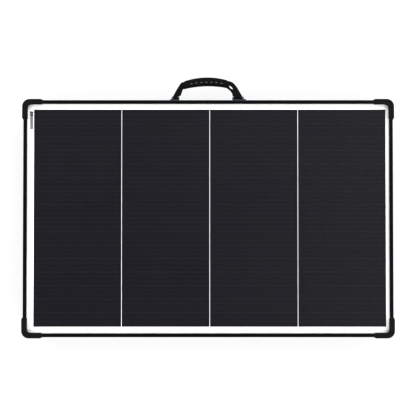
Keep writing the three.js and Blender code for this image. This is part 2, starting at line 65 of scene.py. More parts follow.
# The plane where the leaves meet, and the outer face of the rails on the handle side and hinge side.
SPLIT = sum((corner.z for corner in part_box("hinge_pin_left")), 0.0) / 2
RAIL_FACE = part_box("front_rail_handle_side")[1].y
HINGE_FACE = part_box("front_rail_hinge_side")[0].y
OUTWARDS = {"front": 1, "rear": -1}

# Four strings of shingled strips to a leaf.
STRINGS = 4


# ---- Materials ----


class Nodes:
    """One material's node tree, built from its textures forward to its shader."""

    def __init__(self, name):
        self.material = bpy.data.materials.new(name)
        self.material.use_nodes = True
        self.tree = self.material.node_tree
        self.tree.nodes.clear()
        self.place = self.node("ShaderNodeTexCoord").outputs["Object"]

    def node(self, kind, inputs=(), **settings):
        made = self.tree.nodes.new(kind)
        for key, value in settings.items():
            setattr(made, key, value)
        for key, value in dict(inputs).items():
            if isinstance(value, bpy.types.NodeSocket):
                self.tree.links.new(value, made.inputs[key])
            else:
                made.inputs[key].default_value = value
        return made

    def math(self, operation, *values):
        return self.node("ShaderNodeMath", enumerate(values), operation=operation).outputs[0]

    def stretched(self, factors, place=None):
        """The place, with each axis multiplied by its factor."""
        inputs = {0: place or self.place, 1: factors}
        return self.node("ShaderNodeVectorMath", inputs, operation="MULTIPLY").outputs[0]

    def noise(self, scale, detail=2.0, place=None):
        inputs = {"Vector": place or self.place, "Scale": scale, "Detail": detail}
        return self.node("ShaderNodeTexNoise", inputs).outputs["Fac"]

    def grain(self, size, place=None):
        """Rounded pebbles of about this size, 0 at their centres."""
        inputs = {"Vector": place or self.place, "Scale": 1 / size}
        return self.node("ShaderNodeTexVoronoi", inputs).outputs["Distance"]

    def spread(self, value, low, high, to_low=0.0, to_high=1.0):
        inputs = {0: value, 1: low, 2: high, 3: to_low, 4: to_high}
        return self.node("ShaderNodeMapRange", inputs, clamp=True).outputs[0]

    def tint(self, factor, low, high):
        """From one colour to another as the factor goes from 0 to 1."""
        low, high = (c if isinstance(c, bpy.types.NodeSocket) else (*c, 1.0) for c in (low, high))
        return self.node("ShaderNodeMix", {0: factor, 6: low, 7: high}, data_type="RGBA").outputs[2]

    def bump(self, height, strength, distance, under=None):
        inputs = {"Height": height, "Strength": strength, "Distance": distance}
        if under:
            inputs["Normal"] = under
        return self.node("ShaderNodeBump", inputs).outputs[0]

    def finish(self, shader):
        self.node("ShaderNodeOutputMaterial", {"Surface": shader})
        return self.material

    def coat(self, colour, roughness, normal=None, **constants):
        """Ends the tree in a Principled shader. The constants sit on its own sockets."""
        inputs = {"Base Color": colour, "Roughness": roughness}
        if normal:
            inputs["Normal"] = normal
        inputs.update({key.replace("_", " "): value for key, value in constants.items()})
        return self.finish(self.node("ShaderNodeBsdfPrincipled", inputs).outputs[0])


def grey(level, blue=1.4):
    """A grey whose blue is this many times its red, with a third of the difference in its green."""
    return (level, level * (1 + (blue - 1) * 0.35), level * blue)


def anodised(name, along, level=1.0):
    """Black anodised aluminium with the fine lines of its extrusion along one axis."""
    m = Nodes(name)
    factors = [1100.0] * 3
    factors[along] = 14.0
    lines = m.noise(1.0, 3.0, m.stretched(factors))
    clouds = m.spread(m.noise(28.0, 3.0), 0.35, 0.68)
    body = m.tint(clouds, grey(0.0026 * level), grey(0.0041 * level))
    colour = m.tint(m.spread(lines, 0.45, 0.75, 0.0, 0.45), body, grey(0.009 * level))
    roughness = m.spread(lines, 0.3, 0.7, 0.26, 0.35)
    normal = m.bump(lines, 0.12, 0.05 * MM)
    return m.coat(colour, roughness, normal, Metallic=0.3, Specular_IOR_Level=0.2)


def moulded(name, dark, light, size, roughness=0.55):
    """Moulded plastic with a fine spark-eroded grain and faint flow marks."""
    m = Nodes(name)
    pebbles = m.grain(size)
    flow = m.spread(m.noise(45.0, 3.0), 0.35, 0.7)
    colour = m.tint(flow, grey(dark), grey(light))
    colour = m.tint(m.spread(pebbles, 0.2, 0.8, 0.0, 0.3), colour, grey(light * 1.7))
    rough = m.spread(m.noise(160.0), 0.3, 0.7, roughness - 0.06, roughness + 0.08)
    return m.coat(colour, rough, m.bump(pebbles, 0.35, 0.08 * MM), Specular_IOR_Level=0.12)


def worn(name, dark, light, metallic):
    """The rubbed edge of a coated or moulded piece: patches of a paler tone."""
    m = Nodes(name)
    rubs = m.spread(m.noise(190.0, 4.0), 0.42, 0.66)
    colour = m.tint(rubs, grey(dark), grey(light))
    rough = m.spread(m.noise(900.0), 0.3, 0.7, 0.34, 0.52)
    return m.coat(colour, rough, m.bump(rubs, 0.1, 0.05 * MM), Metallic=metallic)


def solar_glass():
    """Rolled glass with a faint texture: clear from above, glossier at a low angle."""
    m = Nodes("solar_glass")
    rolled = m.noise(650.0, 2.0)
    smears = m.noise(9.0, 4.0)
    normal = m.bump(rolled, 0.06, 0.03 * MM)
    # Each pane has two faces, so each takes half of the reflection of real, bonded glass.
    facing_away = m.node("ShaderNodeLayerWeight", {"Blend": 0.5, "Normal": normal}).outputs["Facing"]
    share = m.spread(m.math("POWER", facing_away, 5.0), 0.0, 1.0, 0.02, 0.5)
    clear = m.node("ShaderNodeBsdfTransparent", {"Color": (0.985, 0.986, 0.987, 1.0)}).outputs[0]
    roughness = m.spread(smears, 0.35, 0.7, 0.07, 0.16)
    gloss = m.node("ShaderNodeBsdfGlossy", {"Roughness": roughness, "Normal": normal}).outputs[0]
    return m.finish(m.node("ShaderNodeMixShader", {0: share, 1: clear, 2: gloss}).outputs[0])


# Fingers and dashes across a strip, busbar lines along it, and where the next strip covers its edge.
FINGERS = 108.0
DASHES = 27.0
BUSBARS = 3.0
JOINT_AT = 0.955


def silicon():
    """Shingled strips: the strip is counted by whole UV numbers, string by string and row by row."""
    m = Nodes("silicon_strips")
    uv = m.node("ShaderNodeUVMap", uv_map="UVMap").outputs[0]
    parts = m.node("ShaderNodeSeparateXYZ", {0: uv})
    across, along = parts.outputs[0], parts.outputs[1]
    strip = m.node("ShaderNodeVectorMath", {0: uv}, operation="FLOOR").outputs[0]
    tone = m.node("ShaderNodeTexWhiteNoise", {"Vector": strip}, noise_dimensions="3D").outputs[0]
    clouds = m.spread(m.noise(7.0, 4.0), 0.3, 0.72)
    blue = (0.0058, 0.0064, 0.0106)
    violet = (0.0078, 0.0078, 0.0120)
    colour = m.tint(clouds, blue, violet)
    colour = m.tint(m.math("MULTIPLY", tone, 0.6), colour, (0.0098, 0.0100, 0.0140))
    mottle = m.spread(m.noise(330.0, 2.0), 0.38, 0.62)
    shaded = m.tint(0.35, colour, (0.0022, 0.0026, 0.0058))
    colour = m.tint(mottle, shaded, m.tint(0.3, colour, (0.0118, 0.0120, 0.0160)))
    # Fine fingers run along the string, too thin to see one by one.
    fingers = m.math("PINGPONG", m.math("MULTIPLY", across, FINGERS), 0.5)
    colour = m.tint(m.spread(fingers, 0.40, 0.5, 0.0, 0.35), colour, (0.019, 0.020, 0.025))
    # Busbar lines cross it three to a strip, the one at the overlap the plainest and broken.
    share = m.math("FRACT", along)
    thirds = m.math("PINGPONG", m.math("MULTIPLY", share, BUSBARS), 0.5)
    line = m.spread(thirds, 0.05, 0.02)
    colour = m.tint(m.math("MULTIPLY", line, 0.8), colour, (0.022, 0.023, 0.029))
    joint = m.spread(m.math("ABSOLUTE", m.math("SUBTRACT", share, JOINT_AT)), 0.03, 0.016)
    dash = m.spread(m.math("PINGPONG", m.math("MULTIPLY", across, DASHES), 0.5), 0.2, 0.3)
    broken = m.math("MULTIPLY", joint, m.spread(dash, 0.0, 1.0, 0.25, 1.0))
    colour = m.tint(m.math("MULTIPLY", broken, 0.6), colour, (0.028, 0.029, 0.035))
    rough = m.spread(m.noise(400.0), 0.3, 0.7, 0.38, 0.5)
    return m.coat(colour, rough, m.bump(fingers, 0.1, 0.02 * MM), Specular_IOR_Level=0.16)


# The gap between strings in the painted shadow of the cells, as it shows through the backsheet from
# behind.
GHOST_SPACE = 3 * MM


def laminate():
    """The white backsheet and its faint emboss. From behind, the shadow of the cells through the sheet is
    painted on as a grey tone.
    """
    m = Nodes("backsheet_white")
    emboss = m.noise(900.0, 2.0)
    shade = m.spread(m.noise(14.0, 3.0), 0.3, 0.7)
    white = m.tint(shade, (0.9, 0.9, 0.9), (0.94, 0.94, 0.938))
    low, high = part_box("front_cell_matrix")
    spans = ((0, low.x, high.x, STRINGS, GHOST_SPACE), (1, low.y, high.y, 1, 0.0))
    place = m.node("ShaderNodeSeparateXYZ", {0: m.place}).outputs
    way = m.node("ShaderNodeTexCoord").outputs["Normal"]
    facing_z = m.node("ShaderNodeSeparateXYZ", {0: way}).outputs[2]
    # Positive on the faces that look towards the other leaf.
    inward = m.math("MULTIPLY", m.math("SUBTRACT", SPLIT, place[2]), facing_z)
    behind = m.math("GREATER_THAN", inward, 0.0)
    for at, start, end, count, space in spans:
        pitch = (end - start + space) / count
        along = m.math("DIVIDE", m.math("SUBTRACT", place[at], start), pitch)
        inside = m.math("COMPARE", along, count / 2, count / 2)
        strip = m.math("LESS_THAN", m.math("FRACT", along), 1 - space / pitch)
        behind = m.math("MULTIPLY", behind, m.math("MULTIPLY", inside, strip))
    # The grey over each string on the back face is a painted shadow of the cells seen through the sheet.
    painted_cell_shadow = m.tint(m.spread(m.noise(30.0, 4.0), 0.3, 0.7), (0.415, 0.42, 0.43), (0.44, 0.445, 0.455))
    colour = m.tint(behind, white, painted_cell_shadow)
    rough = m.spread(emboss, 0.3, 0.7, 0.42, 0.56)
    return m.coat(colour, rough, m.bump(emboss, 0.15, 0.05 * MM))


def zinc():
    m = Nodes("zinc_plate")
    spangle = m.grain(1.4 * MM)
    turning = m.noise(1.0, 2.0, m.stretched((2600.0, 60.0, 2600.0)))
    colour = m.tint(m.spread(spangle, 0.2, 0.8), (0.36, 0.37, 0.39), (0.52, 0.53, 0.55))
    rough = m.spread(turning, 0.3, 0.7, 0.24, 0.42)
    return m.coat(colour, rough, m.bump(turning, 0.2, 0.04 * MM), Metallic=1.0)


def powder_coat(name, dark, light):
    m = Nodes(name)
    peel = m.noise(520.0, 2.0)
    colour = m.tint(m.spread(m.noise(60.0, 3.0), 0.35, 0.7), grey(dark), grey(light))
    rough = m.spread(peel, 0.3, 0.7, 0.38, 0.52)
    return m.coat(colour, rough, m.bump(peel, 0.25, 0.12 * MM), Metallic=0.25)


# The width of a column of the weave, and the length of one pick.
WEAVE_COLUMN = 2.3 * MM
WEAVE_PICK = 1.5 * MM


def webbing():
    """Flat woven webbing: columns of slanting picks. Its UVs are metres across and along."""
    m = Nodes("woven_webbing")
    uv = m.node("ShaderNodeUVMap", uv_map="UVMap").outputs[0]
    parts = m.node("ShaderNodeSeparateXYZ", {0: uv})
    across, along = parts.outputs[0], parts.outputs[1]
    column = m.math("PINGPONG", m.math("DIVIDE", across, WEAVE_COLUMN), 0.5)
    slant = m.math("MULTIPLY", column, 1.1)
    picks = m.math("PINGPONG", m.math("ADD", m.math("DIVIDE", along, WEAVE_PICK), slant), 0.5)
    groove = m.spread(column, 0.0, 0.09)
    height = m.math("MULTIPLY", m.math("MULTIPLY", picks, 2.0), groove)
    fuzz = m.noise(2400.0, 3.0)
    # The colour follows the weave's height: dark in the grooves and hollows as painted shade, paler on the
    # raised picks as painted highlight.
    colour = m.tint(height, grey(0.0030), grey(0.0075))
    colour = m.tint(m.spread(fuzz, 0.5, 0.8, 0.0, 0.5), colour, grey(0.015))
    rough = m.spread(fuzz, 0.3, 0.7, 0.8, 0.95)
    normal = m.bump(fuzz, 0.2, 0.1 * MM, m.bump(height, 0.7, 0.25 * MM))
    soft = {"Sheen_Weight": 0.03, "Sheen_Roughness": 0.5, "Specular_IOR_Level": 0.1}
    return m.coat(colour, rough, normal, **soft)


def rubber(name, dark, light):
    m = Nodes(name)
    pebbles = m.grain(0.7 * MM)
    dust = m.spread(m.noise(85.0, 4.0), 0.45, 0.75)
    colour = m.tint(dust, grey(dark), grey(light))
    rough = m.spread(pebbles, 0.1, 0.7, 0.72, 0.58)
    return m.coat(colour, rough, m.bump(pebbles, 0.4, 0.12 * MM), Specular_IOR_Level=0.1)


def printed(name, dark, light):
    """A matt print with the faint mottle of its ink. On the grip's studs it carries a painted highlight.
    """
    m = Nodes(name)
    mottle = m.noise(3200.0, 3.0)
    colour = m.tint(m.spread(mottle, 0.35, 0.7), grey(dark, 1.03), grey(light, 1.03))
    rough = m.spread(mottle, 0.3, 0.7, 0.55, 0.72)
    return m.coat(colour, rough, m.bump(mottle, 0.1, 0.02 * MM))


# ---- Mesh making ----


class Shape:
    """Closed shells gathered into one mesh."""

    def __init__(self):
        self.points = []
        self.faces = []
        self.uvs = []

    def skin(self, rings, uv=lambda i, j: (0.0, 0.0), loop=False):
        """A skin over rings of equal length, with flat caps unless the rings run in a loop."""
        first, size = len(self.points), len(rings[0])
        for ring in rings:
            self.points.extend(Vector(p) for p in ring)
        for i in range(len(rings) - (0 if loop else 1)):
            ahead = (i + 1) % len(rings)
            for j in range(size):
                beside = (j + 1) % size
                corners = ((i, j), (i, beside), (ahead, beside), (ahead, j))
                self.faces.append([first + a * size + b for a, b in corners])
                self.uvs.append([uv(a, b) for a, b in corners])
        for i in () if loop else (0, len(rings) - 1):
            self.faces.append([first + i * size + j for j in range(size)])
            self.uvs.append([uv(i, j) for j in range(size)])

    def piece(self, name, body, slot, material, replaces=(), flat_over=35.0):
        mesh = bpy.data.meshes.new(name)
        mesh.from_pydata(self.points, [], self.faces)
        layer = mesh.uv_layers.new(name="UVMap")
        for at, uv in zip(layer.data, (uv for face in self.uvs for uv in face)):
            at.uv = uv
        work = bmesh.new()
        work.from_mesh(mesh)
        bmesh.ops.recalc_face_normals(work, faces=work.faces)
        work.to_mesh(mesh)
        work.free()
        mesh.materials.append(material)
        mesh.shade_smooth()
        mesh.set_sharp_from_angle(angle=math.radians(flat_over))
        made = bpy.data.objects.new(name, mesh)
        bpy.context.scene.collection.objects.link(made)
        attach(made, body)
        if replaces:
            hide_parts(*replaces)
        return made


def facing(centre, direction):
    """A place whose own +Z points along a direction."""
    turn = Vector((0, 0, 1)).rotation_difference(Vector(direction)).to_matrix().to_4x4()
    return Matrix.Translation(centre) @ turn


def circle(place, radius, height, count=24, polygon=None):
    """A ring about the place's Z axis. With polygon, the ring lies on that many straight sides."""
    ring = []
    for i in range(count):
        angle = math.tau * i / count
        reach = radius
        if polygon:
            half = math.pi / polygon
            reach *= math.cos(half) / math.cos((angle + half) % (2 * half) - half)
        ring.append(place @ Vector((reach * math.cos(angle), reach * math.sin(angle), height)))
    return ring


def turned(shape, place, profile, count=24):
    """A turned body from (radius, height) pairs, or (radius, height, sides) for a polygon."""
    shape.skin([circle(place, step[0], step[1], count, *step[2:]) for step in profile])


def screw(shape, centre, direction, radius=2.6 * MM, tall=1.3 * MM):
    """A button-head screw with a hexagon socket, standing on a surface."""
    socket = radius * 0.48
    turned(
        shape,
        facing(centre, direction),
        [
            (radius, -0.1 * MM),
            (radius, tall * 0.35),
            (radius * 0.93, tall * 0.65),
            (radius * 0.78, tall * 0.9),
            (radius * 0.58, tall),
            (socket, tall, 6),
            (socket, tall * 0.2, 6),
            (socket * 0.2, tall * 0.1, 6),
        ],
    )


def line_through(points, count):
    """A smooth line through points of the XY plane, in even steps of its length."""
    ends = [points[0], *points, points[-1]]
    fine = []
    for a, b, c, d in zip(ends, ends[1:], ends[2:], ends[3:]):
        for step in range(12):
            t = step / 12
            fine.append(
                tuple(
                    0.5
                    * (
                        2 * b[k]
                        + (c[k] - a[k]) * t
                        + (2 * a[k] - 5 * b[k] + 4 * c[k] - d[k]) * t**2
                        + (3 * b[k] - a[k] - 3 * c[k] + d[k]) * t**3
                    )
                    for k in (0, 1)
                )
            )
    fine.append(points[-1])
    reached = [0.0]
    for a, b in zip(fine, fine[1:]):
        reached.append(reached[-1] + math.dist(a, b))
    line, at = [], 0
    for i in range(count + 1):
        wanted = reached[-1] * i / count
        while at < len(fine) - 2 and reached[at + 1] < wanted:
            at += 1
        share = (wanted - reached[at]) / max(reached[at + 1] - reached[at], 1e-9)
        line.append(tuple(fine[at][k] + (fine[at + 1][k] - fine[at][k]) * share for k in (0, 1)))
    return line


# ---- Cells, seals and label ----


ROWS = 16
STRIP_LENGTH = 27.67 * MM
STRIP_EDGE = 0.002
STRIP_THICK = 0.18 * MM
STRING_SPACE = 1.4 * MM
STRING_OVERHANG = Vector((1.7, 0.85, 0.0)) * MM


def cells(leaf, material):
    """The strips of one leaf, each lying on the edge of the next like a roof tile."""
    low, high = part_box(f"{leaf}_cell_matrix")
    low, high = low - STRING_OVERHANG, high + STRING_OVERHANG
    width = (high.x - low.x - (STRINGS - 1) * STRING_SPACE) / STRINGS
    pitch = (high.y - low.y - STRIP_LENGTH) / (ROWS - 1)
    outer, inner = (high.z, low.z) if leaf == "front" else (low.z, high.z)
    thick = STRIP_THICK * OUTWARDS[leaf]
    shape = Shape()
    for string in range(STRINGS):
        left = low.x + string * (width + STRING_SPACE)
        for row in range(ROWS):
            start = low.y + row * pitch
            rings = []
            for y, top in ((start, inner + thick), (start + STRIP_LENGTH, outer)):
                right, under = left + width, top - thick
                corners = ((left, under), (right, under), (right, top), (left, top))
                rings.append([(x, y, z) for x, z in corners])
            ends = (STRIP_EDGE, 1 - STRIP_EDGE)
            edges = (ends[0], ends[1], ends[1], ends[0])
            shape.skin(rings, lambda i, j, s=string, r=row: (s + edges[j], r + ends[i]))
    name = f"{leaf}_cell_strips"
    node = f"{leaf}_cell_matrix"
    return shape.piece(name, BODY_OF[node], "solar_cells", material, (node,), flat_over=20.0)


# The lip of the rails over the glass, and the bead along it.
LIP_WIDTH = 6.5 * MM
BEAD_WIDTH = 0.5 * MM
BEAD_HEIGHT = 0.6 * MM


def glass_seal(leaf, material):
    """A thin bead along the lip of the frame, where the glass disappears under it."""
    low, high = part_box(f"{leaf}_glass")
    face = high.z if leaf == "front" else low.z
    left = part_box(f"{leaf}_rail_left")[0].x + LIP_WIDTH
    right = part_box(f"{leaf}_rail_right")[1].x - LIP_WIDTH
    near, far = HINGE_FACE + LIP_WIDTH, RAIL_FACE - LIP_WIDTH
    width, height = BEAD_WIDTH, BEAD_HEIGHT * OUTWARDS[leaf]
    shape = Shape()
    rings = []
    for x, y, inward_x, inward_y in (
        (left, near, 1, 1),
        (right, near, -1, 1),
        (right, far, -1, -1),
        (left, far, 1, -1),
    ):
        ring = []
        for share, tall in ((-0.6, 0.0), (-0.6, 1.0), (0.35, 0.85), (0.8, 0.45), (1.0, 0.0)):
            reach = width * share
            ring.append((x + inward_x * reach, y + inward_y * reach, face + height * tall))
        rings.append(ring)
    shape.skin(rings, loop=True)
    return shape.piece(f"{leaf}_glass_seal", f"{leaf}_panel", "grip_rubber", material)


# The print on the serial strip: seven blocks down its length, the first ones solid.
# It takes up the outer part of the strip, whose other margin is bare paper.
LABEL_BLOCKS = 7
SOLID_BLOCKS = 2
BLOCK_PITCH = 4.9 * MM
BLOCK_LENGTH = 3.6 * MM
BLOCK_INSET = 0.05 * MM
PRINT_WIDTH = 5.6 * MM
GROUND_THICK = 0.02 * MM
INK_THICK = 0.04 * MM


def label_print(dark, pale, ground):
    """Generic blocks and bars on the serial strip: no lettering."""
    low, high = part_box("serial_label")
    left, right = low.x + BLOCK_INSET, low.x + PRINT_WIDTH
    bottom = low.y + 0.1 * MM

    def inked(shape, start, end, thick):
        section = ((left, 0), (right, 0), (right, thick), (left, thick))
        shape.skin([[(x, y, high.z + up) for x, up in section] for y in (start, end)])

    inks = {"dark": Shape(), "pale": Shape(), "ground": Shape()}
    inked(inks["ground"], high.y - 0.1 * MM, low.y + 0.05 * MM, GROUND_THICK)
    for i in range(LABEL_BLOCKS):
        solid = i < SOLID_BLOCKS
        top = high.y - 0.2 * MM - i * BLOCK_PITCH
        bars = [(0.0, 1.0)] if solid else [(0.0, 0.16), (0.28, 0.4), (0.52, 0.72), (0.84, 1.0)]
        for start, end in bars:
            span = (top - BLOCK_LENGTH * start, max(top - BLOCK_LENGTH * end, bottom))
            inked(inks["dark" if solid else "pale"], *span, INK_THICK)
    inks["dark"].piece("label_dark_blocks", "front_panel", "label", dark)
    inks["pale"].piece("label_pale_bars", "front_panel", "label", pale)
    inks["ground"].piece("label_grey_ground", "front_panel", "label", ground)


# ---- Handle ----
# Heights of the handle are measured along Y from the outer face of the rail.

PIN = sum(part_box("handle_pin_left"), Vector()) / 2
PIN_HEIGHT = (PIN.y - RAIL_FACE) / MM

# The webbing has two layers. They part round the pin and close up above it, all in millimetres.
LOOP_RADIUS = 2.45
CLOSING_LENGTH = 9.0
WEB_THICK = 1.35
WEB_APART = 1.05

# Each band of webbing: its outer edge and its inner edge, from the pin to the inside of the grip.
LEFT_LEG = (
    [(-67.1, 5.6), (-67, 9.1), (-61, 20.6), (-56, 28.8), (-51, 35.4), (-45, 36.6), (-38, 37.8)],
    [(-57.9, 5.6), (-57.7, 9.1), (-53.2, 10.6), (-49.7, 19.6), (-47.4, 23.6), (-42, 26.6), (-36, 28.4)],
)
RIGHT_LEG = (
    [(65.8, 5.6), (65.7, 8.4), (60.1, 18.6), (55.5, 26.3), (48.4, 34.6), (42, 37.8), (34, 39.4)],
    [(53, 5.6), (52, 9.1), (50, 14), (47.8, 21.8), (47, 25.2), (44.2, 28.3), (40.4, 29.9), (32, 32.6)],
)
RIGHT_INNER = (
    [(52.8, 5.6), (52.4, 9.1), (50.8, 14), (47.8, 21.4), (44.2, 23.6), (41, 27), (39.4, 30.2), (31, 33.2)],
    [(49.5, 5.6), (49.3, 9.1), (47, 10.8), (46.4, 14.6), (41.6, 20.8), (35.4, 25.4), (30, 28.6)],
)

# The grip: where it ends, its thickness, and the arcs of its top and underside.
GRIP_LEFT, GRIP_RIGHT = -48.0, 39.8
GRIP_THICK = 20.0
GRIP_TOP, TOP_RADIUS, TOP_LEAN = 44.8, 139.0, 1.3
GRIP_UNDER, UNDER_RADIUS = 28.9, 189.0
RIB_PITCH = 5.2
STUDS = 7
STUD_PITCH = 9.6
STUD_HALF = (2.1, 0.8)
THREAD_RADIUS = 0.22


def handle_point(x, height, out=0.0):
    """A point of the handle from millimetres: out is its height above the handle's middle plane."""
    return Vector((x * MM, RAIL_FACE + height * MM, PIN.z + out * MM))


def web_out(height):
    """How far a layer of webbing lies from the middle plane: it closes up above the pin."""
    t = min(max((height - PIN_HEIGHT) / CLOSING_LENGTH, 0.0), 1.0)
    return LOOP_RADIUS + (WEB_APART - LOOP_RADIUS) * t * t * (3 - 2 * t)


def web_path(leg, steps=26):
    """Pairs of edge points down one layer, round the pin, and up the other."""
    outer, inner = (line_through(edge, steps) for edge in leg)
    down = []
    for a, b in zip(reversed(outer), reversed(inner)):
        out = web_out((a[1] + b[1]) / 2)
        down.append((handle_point(*a, out), handle_point(*b, out)))
    around = []
    for i in range(1, 10):
        angle = math.pi * i / 10
        height = PIN_HEIGHT - LOOP_RADIUS * math.sin(angle)
        out = LOOP_RADIUS * math.cos(angle)
        around.append(tuple(handle_point(edge[0][0], height, out) for edge in (outer, inner)))
    up = [tuple(Vector((p.x, p.y, 2 * PIN.z - p.z)) for p in pair) for pair in reversed(down)]
    return down + around + up


def web_band(shape, path, across=6):
    """Webbing along a path of edge pairs, thinner at its woven edges."""
    middles = [(a + b) / 2 for a, b in path]
    lengths = [0.0]
    for a, b in zip(middles, middles[1:]):
        lengths.append(lengths[-1] + (b - a).length)
    rings = []
    for i, (a, b) in enumerate(path):
        ahead = middles[min(i + 1, len(path) - 1)] - middles[max(i - 1, 0)]
        normal = ahead.cross(b - a).normalized()
        top, bottom = [], []
        for j in range(across + 1):
            share = j / across
            half = WEB_THICK * MM / 2 * (1 - 0.45 * abs(2 * share - 1) ** 5)
            at = a.lerp(b, share)
            top.append(at + normal * half)
            bottom.append(at - normal * half)
        rings.append(top + bottom[::-1])
    width = [(b - a).length for a, b in path]

    def uv(i, j):
        share = j if j <= across else 2 * across + 1 - j
        return share / across * width[i], lengths[i]

    shape.skin(rings, uv)


def stitches(shape, leg, rows=(12, 14), count=7, steps=40):
    """Short raised threads across a leg, just above its pin, on both layers."""
    outer, inner = (line_through(edge, steps) for edge in leg)
    for row in rows:
        a, b = outer[row], inner[row]
        out = web_out((a[1] + b[1]) / 2) + WEB_THICK / 2 - 0.05
        for i in range(count):
            first, last = ((i + 0.25) / count, (i + 0.8) / count)
            for side in (1, -1):
                rings = []
                for t in (0.0, 0.15, 0.5, 0.85, 1.0):
                    share = first + (last - first) * t
                    x, height = (a[k] + (b[k] - a[k]) * share for k in (0, 1))
                    lift = 0.28 * math.sin(math.pi * t) - 0.1
                    ring = []
                    for k in range(6):
                        angle = math.tau * k / 6
                        spot = height + THREAD_RADIUS * math.cos(angle)
                        level = out + lift + THREAD_RADIUS * math.sin(angle)
                        ring.append(handle_point(x, spot, side * level))
                    rings.append(ring)
                shape.skin(rings)


def grip_top(x):
    return GRIP_TOP - TOP_RADIUS + math.sqrt(TOP_RADIUS**2 - (x + TOP_LEAN) ** 2)


def grip_under(x):
    return GRIP_UNDER - UNDER_RADIUS + math.sqrt(UNDER_RADIUS**2 - x * x)


def grip_section(x, inset, squeeze=1.0, lean=0.0):
    """A ring round the grip at x: a rounded rectangle, with a rib now and then on its underside."""
    around, squareness, belly = 56, 0.62, 0.35
    top, under = grip_top(x) - inset, grip_under(x) + inset
    middle, half = (top + under) / 2, (top - under) / 2 * squeeze
    thick = (GRIP_THICK / 2 - inset) * squeeze
    rib = 0.35 * (0.5 + 0.5 * math.cos(x * math.tau / RIB_PITCH)) if squeeze == 1.0 else 0.0
    ring = []
    for k in range(around):
        angle = math.tau * k / around
        up, out = math.cos(angle), math.sin(angle)
        high = half * math.copysign(abs(up) ** squareness, up)
        high += rib * min(1.0, max(-up - belly, 0.0) * 3)
        wide = thick * math.copysign(abs(out) ** squareness, out)
        ring.append(handle_point(x + lean * high, middle + high, wide))
    return ring


def grip(material):
    """The arched rubber grip: a rounded section, ribbed underneath, with a mouth at each end."""
    stations, round_end, end_lean = 110, 3.2, 0.12
    most = round_end * 0.75

    def mouth(x, inward):
        lean = -math.copysign(end_lean, x)
        ends = ((0.0, 0.78), (0.3, 0.7), (1.6, 0.66))
        return [grip_section(x + inward * deep, most, share, lean) for deep, share in ends]

    rings = mouth(GRIP_LEFT, 1)[::-1]
    for i in range(stations + 1):
        x = GRIP_LEFT + (GRIP_RIGHT - GRIP_LEFT) * i / stations
        near = min(x - GRIP_LEFT, GRIP_RIGHT - x)
        inset = round_end - math.sqrt(max(round_end**2 - max(round_end - near, 0.0) ** 2, 0.0))
        lean = -math.copysign(end_lean, x) if near < round_end else 0.0
        rings.append(grip_section(x, min(inset, most), lean=lean))
    rings.extend(mouth(GRIP_RIGHT, -1))
    shape = Shape()
    shape.skin(rings)
    name, replaced = "handle_grip_cover", ("handle_grip",)
    return shape.piece(name, "handle", "grip_rubber", material, replaced, flat_over=50.0)


def grip_studs(material):
    """Seven small raised lozenges along each face of the grip. Their paler colour is a painted highlight.
    """
    shape = Shape()
    for i in range(STUDS):
        x = -32.0 + STUD_PITCH * i
        slope = math.atan2(-x, 160.0)
        height = (grip_top(x) + grip_under(x)) / 2 - 2.2
        for side in (1, -1):
            rings = []
            for share, lift in ((1.0, -0.5), (1.0, 0.25), (0.86, 0.5), (0.5, 0.62), (0.1, 0.66)):
                ring = []
                for k in range(20):
                    angle = math.tau * k / 20
                    c, s = math.cos(angle), math.sin(angle)
                    along = STUD_HALF[0] * share * math.copysign(abs(c) ** 0.7, c)
                    over = STUD_HALF[1] * share * math.copysign(abs(s) ** 0.9, s)
                    ring.append(
                        handle_point(
                            x + along * math.cos(slope) - over * math.sin(slope),
                            height + along * math.sin(slope) + over * math.cos(slope),
                            side * (GRIP_THICK / 2 + lift),
                        )
                    )
                rings.append(ring)
            shape.skin(rings)
    return shape.piece("handle_grip_studs", "handle", "grip_rubber", material)


# ---- Fastenings and fittings ----


# Where screws sit: from the middle of a hinge, from a guard's corner, and their heights in a leaf.
HINGE_PLATE = 1.8 * MM
HINGE_SCREW_SPACE = 17 * MM
HINGE_SCREW_HEIGHT = 13.5 * MM
GUARD_SCREW_FROM_CORNER = 23 * MM
GUARD_SCREW_HEIGHT = 18 * MM
LID_SCREW_INSET = 5 * MM
BRACKET_SCREW_INSET = (4 * MM, 5 * MM)
BRACKET_PLATE = 1.9 * MM


def screws(leaf, material):
    """Every screw that holds something to one leaf."""
    out = OUTWARDS[leaf]
    shape = Shape()
    for end in ENDS:
        low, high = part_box(f"{leaf}_hinge_leaf_{end}")
        for step in (-1, 0, 1):
            x = (low.x + high.x) / 2 + step * HINGE_SCREW_SPACE
            spot = (x, HINGE_FACE - HINGE_PLATE, SPLIT + out * HINGE_SCREW_HEIGHT)
            # Nearly flush, because the two hinge plates come face to face when the case is open.
            screw(shape, spot, (0, -1, 0), tall=0.3 * MM)
    level = SPLIT + out * GUARD_SCREW_HEIGHT
    for end, side in zip(ENDS, (-1, 1)):
        for long_side, up in (("handle_side", 1), ("hinge_side", -1)):
            low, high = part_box(f"{leaf}_guard_{long_side}_{end}")
            x = low.x if side < 0 else high.x
            y = high.y if up > 0 else low.y
            screw(shape, (x, y - up * GUARD_SCREW_FROM_CORNER, level), (side, 0, 0), 3.0 * MM)
            if up > 0:
                screw(shape, (x - side * GUARD_SCREW_FROM_CORNER, y, level), (0, 1, 0), 3.0 * MM)
    low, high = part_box(f"{leaf}_junction_lid")
    face = low.z if leaf == "front" else high.z
    for x in (low.x + LID_SCREW_INSET, high.x - LID_SCREW_INSET):
        for y in (low.y + LID_SCREW_INSET, high.y - LID_SCREW_INSET):
            screw(shape, (x, y, face), (0, 0, -out), 2.2 * MM)
    if leaf == "front":
        in_x, in_z = BRACKET_SCREW_INSET
        for end in ENDS:
            low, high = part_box(f"handle_bracket_{end}")
            for x in (low.x + in_x, high.x - in_x):
                screw(shape, (x, RAIL_FACE + BRACKET_PLATE, low.z + in_z), (0, 1, 0), 2.3 * MM)
    return shape.piece(f"{leaf}_screws", f"{leaf}_panel", "steel", material)


